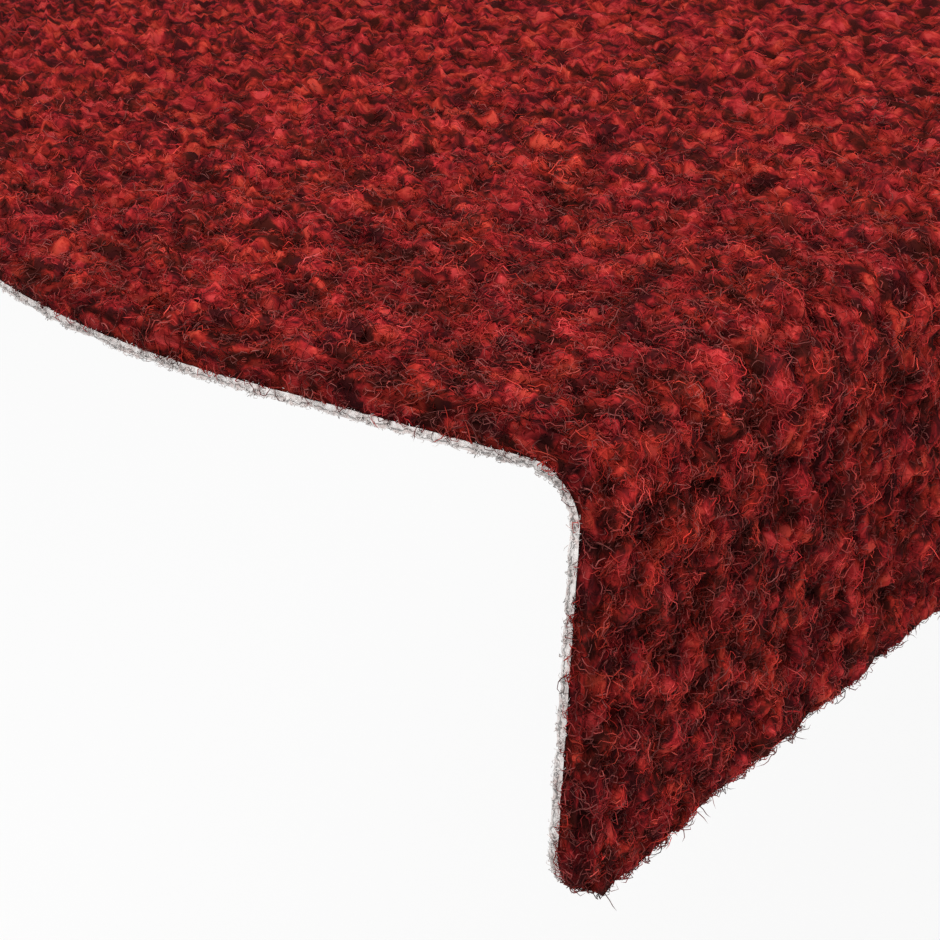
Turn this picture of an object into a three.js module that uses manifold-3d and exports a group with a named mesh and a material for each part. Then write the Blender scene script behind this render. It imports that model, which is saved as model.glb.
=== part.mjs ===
// Stair tread mat: a half-moon of needle-felt carpet whose front edge is folded down over the
// nose of the step. A dark red pile layer is bonded to a pale, stiff backing. The mat is die-cut
// as one flat blank and then pressed to its angle, so the two layers bend about one centre.
//
// Millimetres. X runs along the step, +Y goes back into the step and +Z is up. The origin is on
// the flat underside of the tread, midway along the mat and midway through its depth.

import * as THREE from "three";
import { mergeVertices } from "three/addons/utils/BufferGeometryUtils.js";
import Module from "manifold-3d";

// Overall size
const matLength = 650;
const matDepth = 210;
const lipDrop = 40;

// The two layers, and the film of latex that bonds them
const pileThickness = 2.1;
const bondLine = 0.1;
const backingThickness = 0.8;

// The nose: the bend turns a little past square, so that the lip grips the riser
const bendInsideRadius = 3.6;
const bendAngle = THREE.MathUtils.degToRad(95.8);

// The die-cut outline: straight ends behind the nose, a half ellipse at the back, and a small
// round at each lower corner of the lip
const straightEnd = 33;
const lipCornerRadius = 5.5;

// Facets in each curve
const bendSteps = 10;
const halfMoonSteps = 60;
const cornerSteps = 6;

// How far a cutter runs past what it cuts
const cutterOverrun = 5;

// Sizes worked out from those above
const matThickness = backingThickness + bondLine + pileThickness;
const noseY = -matDepth / 2;
const bendCentreY = noseY + bendInsideRadius + matThickness;
const bendCentreZ = -bendInsideRadius;
const bendEnd = Math.PI / 2 + bendAngle;
const lipDown = new THREE.Vector2(-Math.cos(bendAngle), -Math.sin(bendAngle));
const lipOut = new THREE.Vector2(Math.cos(bendEnd), Math.sin(bendEnd));
const lipBottomZ = matThickness - lipDrop;
const lipTopZ = bendCentreZ + (bendInsideRadius + matThickness) * lipOut.y;
const lipLength = (lipTopZ - lipBottomZ) / -lipDown.y;

const wasm = await Module();
wasm.setup();

// A closed geometry as a solid that can be joined and cut
function toSolid(geometry) {
  const bare = geometry.clone();
  bare.deleteAttribute("normal");
  bare.deleteAttribute("uv");
  const merged = mergeVertices(bare);
  return new wasm.Manifold(new wasm.Mesh({
    numProp: 3,
    vertProperties: merged.attributes.position.array,
    triVerts: new Uint32Array(merged.index.array),
  }));
}

// The solid's faces as a geometry with flat-shaded facets
function toGeometry(solid) {
  const { vertProperties, triVerts } = solid.getMesh();
  const shared = new THREE.BufferGeometry();
  shared.setAttribute("position", new THREE.BufferAttribute(vertProperties, 3));
  shared.setIndex(new THREE.BufferAttribute(triVerts, 1));
  const geometry = shared.toNonIndexed();
  geometry.computeVertexNormals();
  return geometry;
}

// A point in the section's plane, at a height above the underside and a way down the lip
function onLip(height, down) {
  return new THREE.Vector2(bendCentreY, bendCentreZ)
    .addScaledVector(lipOut, bendInsideRadius + height)
    .addScaledVector(lipDown, down);
}

// The section of one layer, seen from the end: the tread, the bend and the lip
function layerSection(low, high) {
  const backY = matDepth / 2 + cutterOverrun;
  const innerEnd = onLip(low, lipLength);
  const outerEnd = onLip(high, lipLength);
  const section = new THREE.Shape();
  section.moveTo(backY, low);
  section.lineTo(bendCentreY, low);
  section.absarc(bendCentreY, bendCentreZ, bendInsideRadius + low, Math.PI / 2, bendEnd, false);
  section.lineTo(innerEnd.x, innerEnd.y);
  section.lineTo(outerEnd.x, outerEnd.y);
  section.absarc(bendCentreY, bendCentreZ, bendInsideRadius + high, bendEnd, Math.PI / 2, true);
  section.lineTo(backY, high);
  section.closePath();
  return section;
}

// The section drawn along the whole mat, with square ends
function layerStrip(low, high) {
  const strip = new THREE.ExtrudeGeometry(layerSection(low, high), {
    depth: matLength,
    curveSegments: bendSteps,
    bevelEnabled: false,
  });
  const alongY = new THREE.Vector3(0, 1, 0);
  const alongZ = new THREE.Vector3(0, 0, 1);
  const alongX = new THREE.Vector3(1, 0, 0);
  strip.applyMatrix4(new THREE.Matrix4().makeBasis(alongY, alongZ, alongX));
  strip.translate(-matLength / 2, 0, 0);
  return strip;
}

// The die that cuts the half moon, as a prism from below the lip to above the pile
function halfMoonDie() {
  const frontY = noseY - cutterOverrun;
  const curveStartY = noseY + straightEnd;
  const sideX = matLength / 2 + cutterOverrun;
  const outline = new THREE.Shape();
  outline.moveTo(-sideX, frontY);
  outline.lineTo(sideX, frontY);
  outline.lineTo(sideX, curveStartY);
  outline.lineTo(matLength / 2, curveStartY);
  outline.absellipse(0, curveStartY, matLength / 2, matDepth - straightEnd, 0, Math.PI, false, 0);
  outline.lineTo(-sideX, curveStartY);
  outline.closePath();
  const die = new THREE.ExtrudeGeometry(outline, {
    depth: lipDrop + 2 * cutterOverrun,
    curveSegments: halfMoonSteps,
    bevelEnabled: false,
  });
  die.translate(0, 0, lipBottomZ - cutterOverrun);
  return die;
}

// What the die takes off one lower corner of the lip to leave it round, cut square through both
// layers. Side is -1 for the left corner and 1 for the right one.
function cornerOffcut(side) {
  const radius = lipCornerRadius;
  const outline = new THREE.Shape();
  outline.moveTo(-cutterOverrun, -cutterOverrun);
  outline.lineTo(radius, -cutterOverrun);
  outline.lineTo(radius, 0);
  outline.absarc(radius, radius, radius, -Math.PI / 2, -Math.PI, true);
  outline.lineTo(-cutterOverrun, radius);
  outline.closePath();
  const depth = matThickness + 2 * cutterOverrun;
  const offcut = new THREE.ExtrudeGeometry(outline, {
    depth,
    curveSegments: cornerSteps,
    bevelEnabled: false,
  });
  offcut.translate(0, 0, -depth / 2);
  const inward = new THREE.Vector3(-side, 0, 0);
  const up = new THREE.Vector3(0, -lipDown.x, -lipDown.y);
  const through = new THREE.Vector3().crossVectors(inward, up);
  const corner = onLip(matThickness / 2, lipLength);
  offcut.applyMatrix4(new THREE.Matrix4().makeBasis(inward, up, through));
  offcut.translate(side * matLength / 2, corner.x, corner.y);
  return offcut;
}

// One layer of the mat, cut to the outline, between two heights above the underside
function layer(name, low, high, material) {
  const solid = toSolid(layerStrip(low, high))
    .intersect(toSolid(halfMoonDie()))
    .subtract(toSolid(cornerOffcut(-1)))
    .subtract(toSolid(cornerOffcut(1)));
  const mesh = new THREE.Mesh(toGeometry(solid), material);
  mesh.name = name;
  return mesh;
}

const pileFelt = new THREE.MeshStandardMaterial({ color: 0x5e1418, roughness: 0.95, metalness: 0 });
const backingLatex = new THREE.MeshStandardMaterial({ color: 0xb8b3ad, roughness: 0.85, metalness: 0 });

const mat = new THREE.Group();
mat.add(layer("backing", 0, backingThickness, backingLatex));
mat.add(layer("carpet_pile", backingThickness + bondLine, matThickness, pileFelt));

export default mat;
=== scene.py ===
import math

import bpy
import numpy as np
from mathutils import Matrix, Vector


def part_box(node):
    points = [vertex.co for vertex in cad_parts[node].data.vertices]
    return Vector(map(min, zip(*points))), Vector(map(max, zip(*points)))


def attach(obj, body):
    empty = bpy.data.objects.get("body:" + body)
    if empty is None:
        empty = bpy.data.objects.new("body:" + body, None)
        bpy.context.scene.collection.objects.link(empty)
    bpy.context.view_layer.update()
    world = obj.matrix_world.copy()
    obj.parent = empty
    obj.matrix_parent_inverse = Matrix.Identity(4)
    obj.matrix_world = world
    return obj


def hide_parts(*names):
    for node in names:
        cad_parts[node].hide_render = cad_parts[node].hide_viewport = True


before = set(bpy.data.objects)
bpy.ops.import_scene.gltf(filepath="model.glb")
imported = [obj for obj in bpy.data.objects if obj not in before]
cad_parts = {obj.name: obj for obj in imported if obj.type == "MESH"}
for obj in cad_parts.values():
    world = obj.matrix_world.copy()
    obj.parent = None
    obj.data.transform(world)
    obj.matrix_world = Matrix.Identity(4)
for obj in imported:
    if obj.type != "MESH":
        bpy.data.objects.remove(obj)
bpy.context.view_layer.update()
bpy.ops.object.select_all(action="DESELECT")


# Carpet pile. Needle-punched felt about 2 mm thick, dyed in crimson, red and near-black and
# carded together. It is cut with its backing as one flat half moon and pressed over a bar, so it
# is drawn flat, extruded and wrapped. It is lumpy on top and sinks a little at the cut edge.
pile_low, pile_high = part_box("carpet_pile")
half_length = pile_high.x
top = pile_high.z
backing_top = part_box("backing")[1].z
bond_line = 0.00002
pile_bottom = backing_top + bond_line
bend_inside = 0.0036
bend_angle = math.radians(95.8)
straight_end = 0.033
lip_corner = 0.0055
bend_outside = bend_inside + top
bend_y = pile_low.y + bend_outside
bend_length = bend_outside * bend_angle
lip_length = (bend_outside * math.cos(bend_angle) - bend_inside - pile_low.z) / math.sin(bend_angle)

# The flat blank is measured by its x, its depth and its height above the underside. Depth is 0
# where the bend begins, positive back over the tread and negative over the bend and the lip.
front = -bend_length - lip_length
back = pile_high.y - bend_y
moon_start = pile_low.y + straight_end - bend_y
moon_depth = back - moon_start


def half_width(depth):
    """Half the blank's width at a depth: round at the lip's corners, a half ellipse at the back."""
    below = np.clip(front + lip_corner - depth, 0, lip_corner)
    rounded = lip_corner - np.sqrt(lip_corner ** 2 - below ** 2)
    behind = np.clip((depth - moon_start) / moon_depth, 0, 1)
    return half_length * np.sqrt(1 - behind ** 2) - rounded


def from_sides(blank):
    """How far inside the blank's sides and front edge its places are."""
    return np.minimum(half_width(blank[:, 1]) - np.abs(blank[:, 0]), blank[:, 1] - front)


def from_cut(blank):
    """How far inside the cut edge the places of the blank are, the back of the half moon included."""
    return np.minimum(from_sides(blank), back - blank[:, 1])


def turned(depth):
    """How far round the bend a depth lies, from 0 on the tread to the whole angle on the lip."""
    return np.clip(-depth / bend_outside, 0, bend_angle)


def wrap(blank):
    """Places on the blank taken to their places on the folded mat."""
    x, depth, height = blank.T
    turn = turned(depth)
    down = np.maximum(-depth - bend_length, 0)
    radius = bend_inside + height
    y = bend_y + np.maximum(depth, 0) - radius * np.sin(turn) - down * math.cos(bend_angle)
    z = radius * np.cos(turn) - bend_inside - down * math.sin(bend_angle)
    return np.column_stack([x, y, z])


# The mesh is finest at the near end of the nose, where the mat is seen from close by
fine_step = 0.0006
coarse_step = 0.0065
fine_reach = 0.05
middle_reach = 0.13
fine_depth = 0.04
slow_growth = 0.006
quick_growth = 0.05
back_stations = 61


def spaced(start, fine_until, middle_until, end):
    """Stations from start to end: even and fine at first, then further and further apart."""
    stations = [start]
    step = fine_step
    while stations[-1] + 1.5 * step < end:
        stations.append(stations[-1] + step)
        step = fine_step + slow_growth * max(stations[-1] - fine_until, 0)
        step = min(step + quick_growth * max(stations[-1] - middle_until, 0), coarse_step)
    return np.append(stations, end)


columns = spaced(-half_length, -half_length + fine_reach, -half_length + middle_reach, half_length)

# The back half of the half moon is stepped by angle, so that its outline closes in a round
round_the_back = np.radians(np.linspace(30, 90, back_stations))
depths = np.append(spaced(front, fine_depth, back, moon_start + moon_depth / 2)[:-1],
                   moon_start + moon_depth * np.sin(round_the_back))


def points(mesh):
    """Where the points of the mesh are."""
    places = np.empty(len(mesh.vertices) * 3, np.float32)
    mesh.vertices.foreach_get("co", places)
    return places.reshape(-1, 3)


def corner_points(mesh):
    """The number of the point at each corner of each face."""
    numbers = np.empty(len(mesh.loops), np.int32)
    mesh.loops.foreach_get("vertex_index", numbers)
    return numbers


def blank_places(mesh):
    """Where the points of the mesh are on the flat blank."""
    stored = mesh.attributes["blank"].data
    places = np.empty(len(stored) * 3, np.float32)
    stored.foreach_get("vector", places)
    return places.reshape(-1, 3)


def keep(mesh, name, values):
    """Stores a number or a vector for each point of the mesh, for its material to read."""
    kind, field = ("FLOAT_VECTOR", "vector") if values.ndim == 2 else ("FLOAT", "value")
    attribute = mesh.attributes.new(name, kind, "POINT")
    attribute.data.foreach_set(field, values.astype(np.float32).ravel())


def keep_uv(mesh, blank, per_metre):
    """Gives the mesh a UV map of the flat blank, for the clouds that displace it."""
    uv = mesh.uv_layers.new(name="blank_flat")
    flat = blank[corner_points(mesh)][:, :2] * per_metre
    uv.data.foreach_set("uv", flat.astype(np.float32).ravel())


def settle_sides(mesh):
    """Gives the side faces an order that lasts, because extruding makes them in a new one each run."""
    places = points(mesh)
    quads = corner_points(mesh).reshape(-1, 4)
    sides = np.flatnonzero(np.ptp(places[quads, 2], axis=1) > 0)
    first = quads[sides].argmin(1)[:, None]
    side_quads = np.take_along_axis(quads[sides], (first + np.arange(4)) % 4, 1)
    quads[sides] = side_quads[np.lexsort(side_quads.T)]
    mesh.clear_geometry()
    mesh.from_pydata(places, [], quads)


def join_flats(mesh, height):
    """Joins a hidden side of a layer to one face on the tread and one on the lip."""
    for sign, limit in ((1, 0.0), (-1, bend_length)):
        blank = blank_places(mesh)
        there = (np.abs(blank[:, 2] - height) < 1e-6) & (sign * blank[:, 1] > limit)
        starts = np.empty(len(mesh.polygons), np.int32)
        mesh.polygons.foreach_get("loop_start", starts)
        flat = np.logical_and.reduceat(there[corner_points(mesh)], starts)
        mesh.polygons.foreach_set("select", flat)
        bpy.ops.object.mode_set(mode="EDIT")
        bpy.ops.mesh.dissolve_faces()
        bpy.ops.object.mode_set(mode="OBJECT")


def layer(name, low, high, rows, hidden, sink=None):
    """One layer of the mat: a grid extruded to its thickness in rows, shaped to the blank and wrapped."""
    bpy.context.tool_settings.mesh_select_mode = (False, False, True)
    bpy.ops.mesh.primitive_grid_add(
        x_subdivisions=len(columns) - 1, y_subdivisions=len(depths) - 1, size=2)
    piece = bpy.context.object
    piece.name = piece.data.name = name
    bpy.ops.object.mode_set(mode="EDIT")
    bpy.ops.mesh.select_all(action="SELECT")
    for _ in range(rows):
        bpy.ops.mesh.extrude_region_move(TRANSFORM_OT_translate={"value": (0, 0, 1 / rows)})
    bpy.ops.mesh.select_all(action="SELECT")
    bpy.ops.mesh.normals_make_consistent(inside=False)
    bpy.ops.object.mode_set(mode="OBJECT")
    settle_sides(piece.data)

    grid = points(piece.data)
    column = np.rint((grid[:, 0] + 1) / 2 * (len(columns) - 1)).astype(int)
    row = np.rint((grid[:, 1] + 1) / 2 * (len(depths) - 1)).astype(int)
    depth = depths[row]
    across = columns[column] * half_width(depth) / half_length
    keep(piece.data, "blank", np.column_stack([across, depth, low + (high - low) * grid[:, 2]]))
    for height in hidden:
        join_flats(piece.data, height)

    blank = blank_places(piece.data).astype(float)
    sunk = blank.copy()
    if sink:
        sunk[:, 2] -= sink(blank)
    piece.data.vertices.foreach_set("co", wrap(sunk).astype(np.float32).ravel())
    bpy.ops.object.mode_set(mode="EDIT")
    bpy.ops.mesh.select_all(action="SELECT")
    bpy.ops.mesh.remove_doubles(threshold=0.000002)
    bpy.ops.mesh.select_all(action="DESELECT")
    bpy.ops.object.mode_set(mode="OBJECT")
    return piece


rim_reach = 0.0008
rim_drop = 0.0006


def felt_share(height):
    """How far up the felt a height is, from 0 at the backing to 1 on top."""
    return (height - backing_top) / (top - backing_top)


def pile_sink(blank):
    """How far the felt sinks near its cut edge."""
    up = np.clip(felt_share(blank[:, 2]), 0, 1)
    return rim_drop * up * np.exp(-(from_cut(blank) / rim_reach) ** 2)


pile = layer("felt_pile", pile_bottom, top, 5, (pile_bottom,), pile_sink)
flat_places = blank_places(pile.data)
share = felt_share(flat_places[:, 2])

# The lumps are a little longer over the mat than along it. They are held back at the rim, and
# past the middle reach, where the mesh gets too coarse for them.
lumps_per_metre = np.array([10, 7])
rim_hold = 0.0018
rim_firmness = 0.45
coarse_reach = 0.25
coarse_share = 0.4
weight_step = 0.05
keep_uv(pile.data, flat_places, lumps_per_metre)
loose = (1 - rim_firmness * np.exp(-(from_sides(flat_places) / rim_hold) ** 2)) * np.clip(share, 0, 1)
loose *= np.interp(flat_places[:, 0] + half_length, (middle_reach, coarse_reach), (1.0, coarse_share))
upper = pile.vertex_groups.new(name="upper")
for weight in np.linspace(weight_step, 1.0, 20):
    upper.add(np.flatnonzero(loose > weight - weight_step / 2).tolist(), weight, "REPLACE")

bpy.context.view_layer.objects.active = pile
for name, size, strength, middle in (
    ("felt_clumps", 0.045, 0.0024, 0.53),
    ("felt_tufts", 0.018, 0.0019, 0.50),
):
    lumps = bpy.data.textures.new(name, "CLOUDS")
    lumps.noise_scale = size
    lumps.noise_depth = 1
    displace = pile.modifiers.new(name, "DISPLACE")
    displace.texture = lumps
    displace.texture_coords = "UV"
    displace.uv_layer = "blank_flat"
    displace.vertex_group = "upper"
    displace.strength = strength
    displace.mid_level = middle
    bpy.ops.object.modifier_apply(modifier=name)
pile.data.shade_smooth()

cover_along = 0.060
cover_over = 0.065


def outward(blank):
    """The felt's upward direction at places on the blank, once it is wrapped."""
    turn = turned(blank[:, 1])
    return np.column_stack([np.zeros(len(turn)), -np.sin(turn), np.cos(turn)])


def cover(blank):
    """How thickly loose fibres lie at a place on the blank: all over the near corner, fading out."""
    along = (blank[:, 0] + half_length) / cover_along
    over = np.maximum(blank[:, 1], 0) / cover_over
    return np.exp(-along ** 2 - over ** 2)


# Painted light and shade: pits in the felt are painted dark and its tufts bright, more so under the
# loose fibres, where it is also painted a little darker as a whole, as their shade. On the cut face
# painted shade darkens it towards its root.
pit_depth = 0.0006
pit_painted_shade = 0.38
peak_painted_light = 2.30
covered_painted_shade = 0.90
bare_relief = 0.40
cut_share = 0.9
cut_face_painted_shade = 1.2
cut_root = 0.3
lift = ((points(pile.data) - wrap(flat_places)) * outward(flat_places)).sum(1)
raised = np.clip((lift + pit_depth) / (2 * pit_depth), 0, 1)
relief = bare_relief + (1 - bare_relief) * cover(flat_places)
shade_and_tone = pit_painted_shade + (peak_painted_light - pit_painted_shade) * (0.5 + (raised - 0.5) * relief)
shade_and_tone *= 1 - (1 - covered_painted_shade) * cover(flat_places)
shade_and_tone = np.where(share < cut_share, cut_face_painted_shade * np.clip(share + cut_root, 0, 1), shade_and_tone)
keep(pile.data, "shade_and_tone", shade_and_tone)

felt = bpy.data.materials.new("heathered_felt")
felt.use_nodes = True
nodes = felt.node_tree.nodes
links = felt.node_tree.links
shader = nodes["Principled BSDF"]
shader.inputs["Roughness"].default_value = 0.7
shader.inputs["Specular IOR Level"].default_value = 0.02

# All patterns follow the flat blank, in millimetres, and are drawn out a little over the mat
felt_place = nodes.new("ShaderNodeAttribute")
felt_place.attribute_name = "blank"
stretch = nodes.new("ShaderNodeMapping")
stretch.inputs["Scale"].default_value = (1000, 650, 1000)
links.new(felt_place.outputs["Vector"], stretch.inputs["Vector"])


def set_stops(ramp, stops):
    """Gives a colour ramp its stops, each a place and a colour."""
    while len(ramp.color_ramp.elements) < len(stops):
        ramp.color_ramp.elements.new(0.5)
    for stop, (at, colour) in zip(ramp.color_ramp.elements, stops):
        stop.position = at
        stop.color = colour


clump = nodes.new("ShaderNodeTexNoise")
clump.inputs["Scale"].default_value = 0.6
clump.inputs["Detail"].default_value = 4
clump.inputs["Roughness"].default_value = 0.62
clump.inputs["Distortion"].default_value = 0.6
links.new(stretch.outputs["Vector"], clump.inputs["Vector"])
dye = nodes.new("ShaderNodeValToRGB")
set_stops(dye, (
    (0.40, (0.070, 0.014, 0.014, 1)),
    (0.45, (0.14, 0.020, 0.020, 1)),
    (0.49, (0.26, 0.026, 0.026, 1)),
    (0.53, (0.41, 0.034, 0.034, 1)),
    (0.57, (0.56, 0.048, 0.045, 1)),
    (0.62, (0.74, 0.095, 0.080, 1)),
))
links.new(clump.outputs["Fac"], dye.inputs["Fac"])

# Some dye batches are a cooler crimson and some a warmer red
batch = nodes.new("ShaderNodeTexNoise")
batch.inputs["Scale"].default_value = 0.45
batch.inputs["Detail"].default_value = 2
links.new(stretch.outputs["Vector"], batch.inputs["Vector"])
tint = nodes.new("ShaderNodeValToRGB")
set_stops(tint, (
    (0.40, (0.94, 0.62, 0.74, 1)),
    (0.60, (1.0, 0.80, 0.58, 1)),
))
links.new(batch.outputs["Fac"], tint.inputs["Fac"])
tinted = nodes.new("ShaderNodeVectorMath")
tinted.operation = "MULTIPLY"
links.new(dye.outputs["Color"], tinted.inputs[0])
links.new(tint.outputs["Color"], tinted.inputs[1])

# The dye is scaled by the painted light and shade kept on the points
read_shade_and_tone = nodes.new("ShaderNodeAttribute")
read_shade_and_tone.attribute_name = "shade_and_tone"
shaded_dye = nodes.new("ShaderNodeVectorMath")
shaded_dye.operation = "SCALE"
links.new(tinted.outputs["Vector"], shaded_dye.inputs[0])
links.new(read_shade_and_tone.outputs["Fac"], shaded_dye.inputs["Scale"])

# The finest fibres are ridges in a tangle, which shows as light threads and as bump. The threads'
# colour follows the ridges, lighter on them and darker between, so it is partly painted light and shade.
tangle = nodes.new("ShaderNodeTexNoise")
tangle.noise_type = "RIDGED_MULTIFRACTAL"
tangle.inputs["Scale"].default_value = 2.2
tangle.inputs["Detail"].default_value = 3
tangle.inputs["Roughness"].default_value = 0.6
tangle.inputs["Distortion"].default_value = 1.2
links.new(stretch.outputs["Vector"], tangle.inputs["Vector"])
threads_and_shade = nodes.new("ShaderNodeMapRange")
threads_and_shade.inputs["From Min"].default_value = 0.2
threads_and_shade.inputs["From Max"].default_value = 1.4
threads_and_shade.inputs["To Min"].default_value = 0.45
threads_and_shade.inputs["To Max"].default_value = 1.6
links.new(tangle.outputs["Fac"], threads_and_shade.inputs["Value"])
threaded_and_shaded = nodes.new("ShaderNodeVectorMath")
threaded_and_shaded.operation = "SCALE"
links.new(shaded_dye.outputs["Vector"], threaded_and_shaded.inputs[0])
links.new(threads_and_shade.outputs["Result"], threaded_and_shaded.inputs["Scale"])

# Single fibres are paler than the felt by a share of their own. The felt itself has none.
paleness = nodes.new("ShaderNodeAttribute")
paleness.attribute_name = "paleness"
faded = nodes.new("ShaderNodeMix")
faded.data_type = "RGBA"
faded.clamp_result = True
faded.inputs["B"].default_value = (0.62, 0.19, 0.17, 1)
links.new(paleness.outputs["Fac"], faded.inputs["Factor"])
links.new(threaded_and_shaded.outputs["Vector"], faded.inputs["A"])
links.new(faded.outputs["Result"], shader.inputs["Base Color"])
bump = nodes.new("ShaderNodeBump")
bump.inputs["Strength"].default_value = 0.9
bump.inputs["Distance"].default_value = 0.00025
links.new(tangle.outputs["Fac"], bump.inputs["Height"])
links.new(bump.outputs["Normal"], shader.inputs["Normal"])

pile.data.materials.append(felt)
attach(pile, "root")
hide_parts("carpet_pile")


# Fibres of the pile. Crimped fibres that the needles have pulled up out of the felt lie over it in
# arcs and loops, thickest on the near corner and thinning out. Each is a closed tapered tube of
# three sides, worked out as arrays, because thousands that all differ can't be laid by operators.
rng = np.random.default_rng(7)
ring_sides = 3
run_over = 0.2
end_dip = 1.35
ripple_share = 0.25
tilt = 0.15
end_taper = 0.4
dye_jitter = 0.0003
sunken_painted_shade = 0.30
root_margin = 0.0001


def skin(mesh, blank, height, wanted):
    """The triangles of a mesh to strew fibres on, with the facing, height and chance of each."""
    mesh.calc_loop_triangles()
    triangles = np.empty(len(mesh.loop_triangles) * 3, np.int32)
    mesh.loop_triangles.foreach_get("vertices", triangles)
    triangles = triangles.reshape(-1, 3)
    corners = points(mesh).astype(float)[triangles]
    normal = np.cross(corners[:, 1] - corners[:, 0], corners[:, 2] - corners[:, 0])
    area = np.linalg.norm(normal, axis=1)
    chance = area * wanted(blank[triangles].mean(1))
    return {
        "corners": corners,
        "blank": blank[triangles],
        "height": height[triangles],
        "facing": normal / np.maximum(area, 1e-14)[:, None],
        "chance": chance / chance.sum(),
    }


def directions(on_blank, up):
    """A level direction for each fibre, and the one beside it. More run over the mat than along it."""
    count = len(up)
    turn = turned(on_blank[:, 1])
    forward = np.column_stack([np.zeros(count), np.cos(turn), np.sin(turn)])
    forward -= (forward * up).sum(1)[:, None] * up
    forward[np.linalg.norm(forward, axis=1) < 0.3] = (1, 0, 0)
    forward /= np.linalg.norm(forward, axis=1)[:, None]
    side = np.cross(up, forward)
    heading = rng.uniform(-np.pi, np.pi, count)
    heading -= run_over * np.sin(2 * heading)
    along = np.cos(heading)[:, None] * forward + np.sin(heading)[:, None] * side
    return along, np.cross(up, along)


def middle_lines(root, along, aside, up, t, length, crimp, arch):
    """Each fibre's middle line. It winds in its own plane, arches up and dips at its ends."""
    count = len(root)
    size = rng.uniform(*length, count)[:, None]
    curl = rng.normal(0, crimp, count)[:, None]
    wave = rng.normal(0, 0.6 * crimp, count)[:, None]
    phase = rng.uniform(-np.pi, np.pi, count)[:, None]
    angle = curl * t + wave * np.sin(np.pi * rng.uniform(0.6, 1.4, count)[:, None] * t + phase)
    ahead = np.cumsum(np.cos(angle), 1) * size / (len(t) - 1)
    aslant = np.cumsum(np.sin(angle), 1) * size / (len(t) - 1)
    ahead -= ahead.mean(1)[:, None]
    aslant -= aslant.mean(1)[:, None]
    rise = rng.uniform(*arch, count)[:, None]
    ripple = ripple_share * rise * np.sin(2.5 * np.pi * t + phase)
    height = rise * (1 - end_dip * t ** 2) + ripple + rng.normal(0, tilt, count)[:, None] * ahead
    return (root[:, None] + ahead[:, :, None] * along[:, None]
            + aslant[:, :, None] * aside[:, None] + height[:, :, None] * up[:, None])


def tubes(line, up, t, radius):
    """The points and faces of a closed tube round each line: a point at each end, rings between."""
    count = len(line)
    rings = len(t) - 2
    each = ring_sides * rings + 2
    way = np.gradient(line, axis=1)
    way /= np.linalg.norm(way, axis=2)[:, :, None]
    beside = np.cross(way, up[:, None])
    beside /= np.maximum(np.linalg.norm(beside, axis=2), 1e-9)[:, :, None]
    above = np.cross(beside, way)
    thick = radius * rng.uniform(0.75, 1.25, count)[:, None] * (1 - end_taper * t[None, :] ** 2)
    spots = np.empty((count, each, 3))
    spots[:, 0] = line[:, 0]
    spots[:, -1] = line[:, -1]
    faces = []
    for side in range(ring_sides):
        turn = 2 * math.pi * side / ring_sides
        edge = line + thick[:, :, None] * (math.cos(turn) * above + math.sin(turn) * beside)
        spots[:, 1 + side:-1:ring_sides] = edge[:, 1:-1]
        following = (side + 1) % ring_sides
        last = each - 1 - ring_sides
        faces.append((0, 1 + following, 1 + side))
        faces.append((last + side, last + following, each - 1))
        for ring in range(rings - 1):
            a = 1 + ring_sides * ring + side
            b = 1 + ring_sides * ring + following
            faces.append((a, b, b + ring_sides))
            faces.append((a, b + ring_sides, a + ring_sides))
    every = np.array(faces)[None] + (np.arange(count) * each)[:, None, None]
    return spots.reshape(-1, 3), every.reshape(-1, 3)


def fibres(name, ground, material, count, rings, length, crimp, arch, radius, bright):
    """One piece of loose fibres, strewn over a skin, tinted one by one and painted darker where they root
    in pits.
    """
    at = rng.choice(len(ground["chance"]), count, p=ground["chance"])
    within = rng.dirichlet((1, 1, 1), count)[:, :, None]
    root = (ground["corners"][at] * within).sum(1)
    on_blank = (ground["blank"][at] * within).sum(1)
    felt_height = (ground["height"][at] * within[:, :, 0]).sum(1)
    up = ground["facing"][at]
    along, aside = directions(on_blank, up)
    t = np.linspace(-1, 1, rings + 2)
    line = middle_lines(root, along, aside, up, t, length, crimp, arch)
    spots, faces = tubes(line, up, t, radius)

    mesh = bpy.data.meshes.new(name)
    mesh.from_pydata(spots, [], faces)
    each = len(spots) // count
    dyed_as = on_blank + rng.normal(0, dye_jitter, (count, 3))
    # Each fibre is lighter or darker at random, and painted shade darkens those rooted low in the felt's
    # pits
    shade = bright * rng.uniform(0.7, 1.3, count) * (sunken_painted_shade + felt_height)
    pale_share = np.clip(rng.normal(0.05, 0.16, count), 0, 0.6)
    keep(mesh, "blank", np.repeat(dyed_as, each, axis=0))
    keep(mesh, "shade_and_tone", np.repeat(shade, each))
    keep(mesh, "paleness", np.repeat(pale_share, each))
    mesh.shade_smooth()
    mesh.materials.append(material)
    piece = bpy.data.objects.new(name, mesh)
    bpy.context.scene.collection.objects.link(piece)
    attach(piece, "root")


def strewn(blank):
    """Where fibres lie on the pile: by the cover, a little thicker on the cut face than on top."""
    top_side = np.clip(felt_share(blank[:, 2]) * 1.3 - 0.3, 0, 1)
    return cover(blank) * (blank[:, 2] > backing_top + root_margin) * (1.2 - 0.2 * top_side)


pile_skin = skin(pile.data, flat_places, raised, strewn)
for number in (1, 2):
    fibres(f"short_fibres_{number}", pile_skin, felt, count=9600, rings=3,
           length=(0.0009, 0.0020), crimp=1.8, arch=(0.0001, 0.0005), radius=0.000045, bright=1.95)
for number in (1, 2):
    fibres(f"long_fibres_{number}", pile_skin, felt, count=4600, rings=6,
           length=(0.0020, 0.0045), crimp=2.8, arch=(0.0001, 0.0006), radius=0.000040, bright=2.05)
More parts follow.
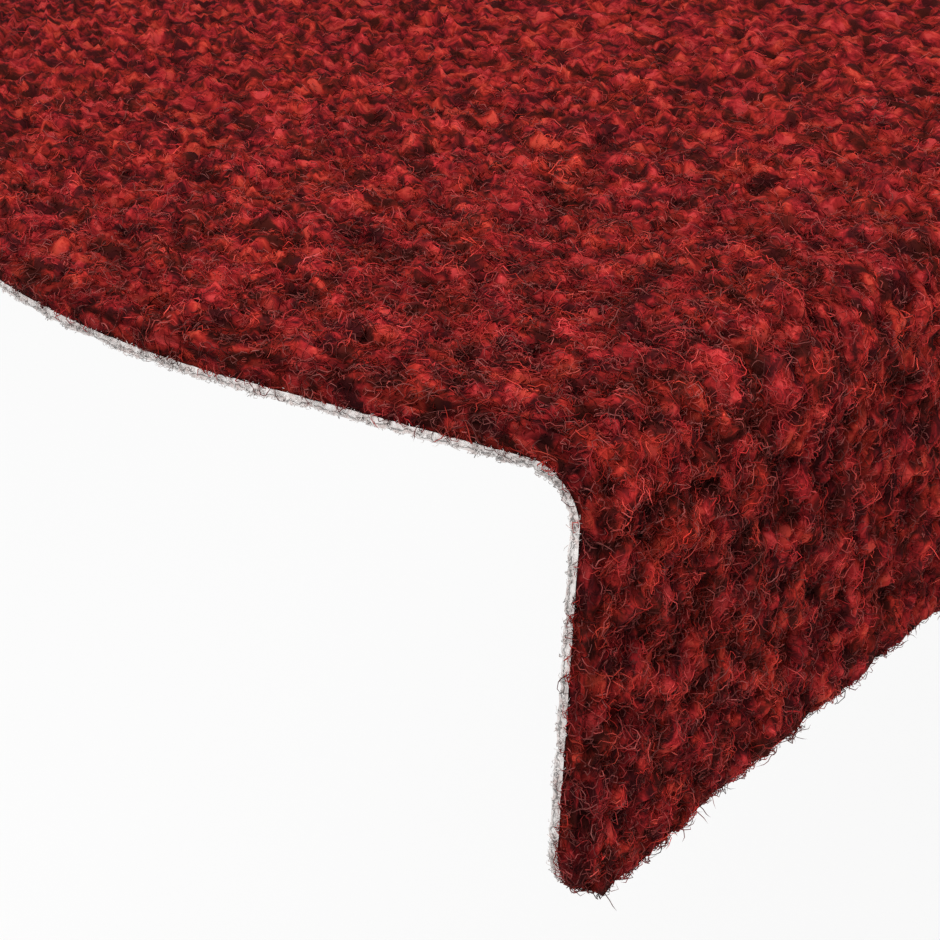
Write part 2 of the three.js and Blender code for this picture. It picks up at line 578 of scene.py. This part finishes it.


# Backing. A stiff, pale latex-bonded sheet under the felt, pressed to the same bend. Its whitish
# edge shows all along the cut, with a dark line of painted shade across it as a shadow line, and
# short fibres that the die has pulled out.
under = layer("backing_sheet", 0.0, backing_top, 3, (0.0, backing_top))
under_places = blank_places(under.data)
fray_per_metre = 10
cut_margin = 0.0001
keep_uv(under.data, under_places, fray_per_metre)
cut_group = under.vertex_groups.new(name="cut_edge")
cut_group.add(np.flatnonzero(from_cut(under_places) < cut_margin).tolist(), 1.0, "REPLACE")
frayed = bpy.data.textures.new("frayed_cut", "CLOUDS")
frayed.noise_scale = 0.012
fray = under.modifiers.new("frayed_cut", "DISPLACE")
fray.texture = frayed
fray.texture_coords = "UV"
fray.uv_layer = "blank_flat"
fray.vertex_group = "cut_edge"
fray.strength = 0.0006
bpy.context.view_layer.objects.active = under
bpy.ops.object.modifier_apply(modifier="frayed_cut")
bpy.ops.object.select_all(action="DESELECT")
under.select_set(True)
bpy.ops.object.shade_smooth_by_angle(angle=math.radians(40))

latex = bpy.data.materials.new("pale_latex")
latex.use_nodes = True
latex_nodes = latex.node_tree.nodes
latex_links = latex.node_tree.links
latex_shader = latex_nodes["Principled BSDF"]
latex_shader.inputs["Roughness"].default_value = 0.8
latex_place = latex_nodes.new("ShaderNodeAttribute")
latex_place.attribute_name = "blank"
grain = latex_nodes.new("ShaderNodeTexNoise")
grain.inputs["Scale"].default_value = 1400
grain.inputs["Detail"].default_value = 3
latex_links.new(latex_place.outputs["Vector"], grain.inputs["Vector"])
pale = latex_nodes.new("ShaderNodeValToRGB")
set_stops(pale, (
    (0.35, (0.76, 0.64, 0.61, 1)),
    (0.55, (0.93, 0.89, 0.87, 1)),
))
latex_links.new(grain.outputs["Fac"], pale.inputs["Fac"])

# A dark line of painted shade, standing for a shadow line, runs along the cut edge at about a third
# of its height, and wanders
shadow_line_wander = 0.0010
height = latex_nodes.new("ShaderNodeSeparateXYZ")
latex_links.new(latex_place.outputs["Vector"], height.inputs["Vector"])
wander = latex_nodes.new("ShaderNodeMath")
wander.operation = "MULTIPLY_ADD"
wander.inputs[1].default_value = shadow_line_wander
latex_links.new(grain.outputs["Fac"], wander.inputs[0])
latex_links.new(height.outputs["Z"], wander.inputs[2])
shadow_line_at = latex_nodes.new("ShaderNodeMapRange")
shadow_line_at.inputs["From Min"].default_value = shadow_line_wander / 2
shadow_line_at.inputs["From Max"].default_value = shadow_line_wander / 2 + backing_top
latex_links.new(wander.outputs["Value"], shadow_line_at.inputs["Value"])
painted_shadow_line = latex_nodes.new("ShaderNodeValToRGB")
set_stops(painted_shadow_line, (
    (0.20, (0.95, 0.95, 0.95, 1)),
    (0.31, (0.34, 0.34, 0.34, 1)),
    (0.38, (0.30, 0.30, 0.30, 1)),
    (0.48, (1.0, 1.0, 1.0, 1)),
))
latex_links.new(shadow_line_at.outputs["Result"], painted_shadow_line.inputs["Fac"])
pale_with_shadow_line = latex_nodes.new("ShaderNodeMix")
pale_with_shadow_line.data_type = "RGBA"
pale_with_shadow_line.blend_type = "MULTIPLY"
pale_with_shadow_line.inputs["Factor"].default_value = 1.0
latex_links.new(pale.outputs["Color"], pale_with_shadow_line.inputs["A"])
latex_links.new(painted_shadow_line.outputs["Color"], pale_with_shadow_line.inputs["B"])

mottle = latex_nodes.new("ShaderNodeTexNoise")
mottle.inputs["Scale"].default_value = 110
mottle.inputs["Detail"].default_value = 6
mottle.inputs["Roughness"].default_value = 0.75
latex_links.new(latex_place.outputs["Vector"], mottle.inputs["Vector"])
patches = latex_nodes.new("ShaderNodeMapRange")
patches.inputs["From Min"].default_value = 0.35
patches.inputs["From Max"].default_value = 0.60
patches.inputs["To Min"].default_value = 0.70
patches.inputs["To Max"].default_value = 1.0
latex_links.new(mottle.outputs["Fac"], patches.inputs["Value"])
mottled = latex_nodes.new("ShaderNodeVectorMath")
mottled.operation = "SCALE"
latex_links.new(pale_with_shadow_line.outputs["Result"], mottled.inputs[0])
latex_links.new(patches.outputs["Result"], mottled.inputs["Scale"])
latex_links.new(mottled.outputs["Vector"], latex_shader.inputs["Base Color"])
latex_bump = latex_nodes.new("ShaderNodeBump")
latex_bump.inputs["Strength"].default_value = 0.8
latex_bump.inputs["Distance"].default_value = 0.0002
latex_links.new(grain.outputs["Fac"], latex_bump.inputs["Height"])
latex_links.new(latex_bump.outputs["Normal"], latex_shader.inputs["Normal"])
under.data.materials.append(latex)
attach(under, "root")
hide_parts("backing")

fuzz_depth = 0.0004
fuzz_along = 0.10


def frayed_edge(blank):
    """Where the backing's own fibres stand out: on its cut edge, most of all at the near end."""
    along = (blank[:, 0] + half_length) / fuzz_along
    return (from_sides(blank) < fuzz_depth) * np.exp(-along ** 2)


under_skin = skin(under.data, under_places, np.ones(len(under_places)), frayed_edge)
fibres("backing_fuzz", under_skin, latex, count=3000, rings=3,
       length=(0.0004, 0.0011), crimp=1.8, arch=(0.0001, 0.0003), radius=0.000035, bright=1.0)


# Floor. A plain white sheet, well below the mat as if a step held it. The camera sees it mostly
# by its own glow, so that it stays white round a faint shadow.
floor_drop = 0.30
glow_share = 0.9
bpy.ops.mesh.primitive_plane_add(size=60, location=(0, 0, 0))
floor = bpy.context.object
floor.name = "floor"
floor.data.transform(Matrix.Translation((0, 0, pile_low.z - floor_drop)))
white = bpy.data.materials.new("white_floor")
white.use_nodes = True
white_nodes = white.node_tree.nodes
white_links = white.node_tree.links
paint = white_nodes["Principled BSDF"]
paint.inputs["Base Color"].default_value = (0.95, 0.95, 0.95, 1)
paint.inputs["Roughness"].default_value = 0.9
glow = white_nodes.new("ShaderNodeEmission")
glow.inputs["Strength"].default_value = 1.0
floor_ray = white_nodes.new("ShaderNodeLightPath")
mostly = white_nodes.new("ShaderNodeMath")
mostly.operation = "MULTIPLY"
mostly.inputs[1].default_value = glow_share
blend = white_nodes.new("ShaderNodeMixShader")
white_links.new(floor_ray.outputs["Is Camera Ray"], mostly.inputs[0])
white_links.new(mostly.outputs["Value"], blend.inputs["Fac"])
white_links.new(paint.outputs["BSDF"], blend.inputs[1])
white_links.new(glow.outputs["Emission"], blend.inputs[2])
white_links.new(blend.outputs["Shader"], white_nodes["Material Output"].inputs["Surface"])
floor.data.materials.append(white)


# Light. A plain white room and one wide soft box, above and in front of the near end and aimed at
# it. The room shows white behind the mat, and lights it more dimly than that.
world = bpy.data.worlds.new("studio")
bpy.context.scene.world = world
world.use_nodes = True
room_nodes = world.node_tree.nodes
room_links = world.node_tree.links
room = room_nodes["Background"]
room.inputs["Color"].default_value = (1, 1, 1, 1)
room.inputs["Strength"].default_value = 0.38
seen = room_nodes.new("ShaderNodeBackground")
seen.inputs["Color"].default_value = (1, 1, 1, 1)
seen.inputs["Strength"].default_value = 1.0
room_ray = room_nodes.new("ShaderNodeLightPath")
room_mix = room_nodes.new("ShaderNodeMixShader")
room_links.new(room_ray.outputs["Is Camera Ray"], room_mix.inputs["Fac"])
room_links.new(room.outputs["Background"], room_mix.inputs[1])
room_links.new(seen.outputs["Background"], room_mix.inputs[2])
room_links.new(room_mix.outputs["Shader"], room_nodes["World Output"].inputs["Surface"])

lamp = bpy.data.lights.new("soft_box", "AREA")
lamp.shape = "SQUARE"
lamp.size = 1.2
lamp.energy = 27
lamp_object = bpy.data.objects.new("soft_box", lamp)
bpy.context.scene.collection.objects.link(lamp_object)
lamp_object.location = (-1.1, -0.45, 1.3)
lamp_aim = Vector((-0.3, -0.1, 0)) - lamp_object.location
lamp_object.rotation_euler = lamp_aim.to_track_quat("-Z", "Y").to_euler()


# Camera. Close to the near corner, looking down the mat with a long lens. Its place and angles
# are those of the photograph.
camera_place = Vector((-0.4490, -0.1911, 0.0704))
heading = math.radians(38.27)
pitch = math.radians(24.455)
roll = math.radians(2.615)
photo_side = 940
focal_pixels = 2415.4
camera_data = bpy.data.cameras.new("camera")
camera_data.sensor_width = 36
camera_data.lens = focal_pixels * camera_data.sensor_width / photo_side
camera_data.clip_start = 0.01
camera = bpy.data.objects.new("camera", camera_data)
bpy.context.scene.collection.objects.link(camera)
camera.matrix_world = (
    Matrix.Translation(camera_place)
    @ Matrix.Rotation(heading - math.pi / 2, 4, "Z")
    @ Matrix.Rotation(math.pi / 2 - pitch, 4, "X")
    @ Matrix.Rotation(-roll, 4, "Z")
)
bpy.context.scene.camera = camera
bpy.context.scene.view_settings.view_transform = "Standard"
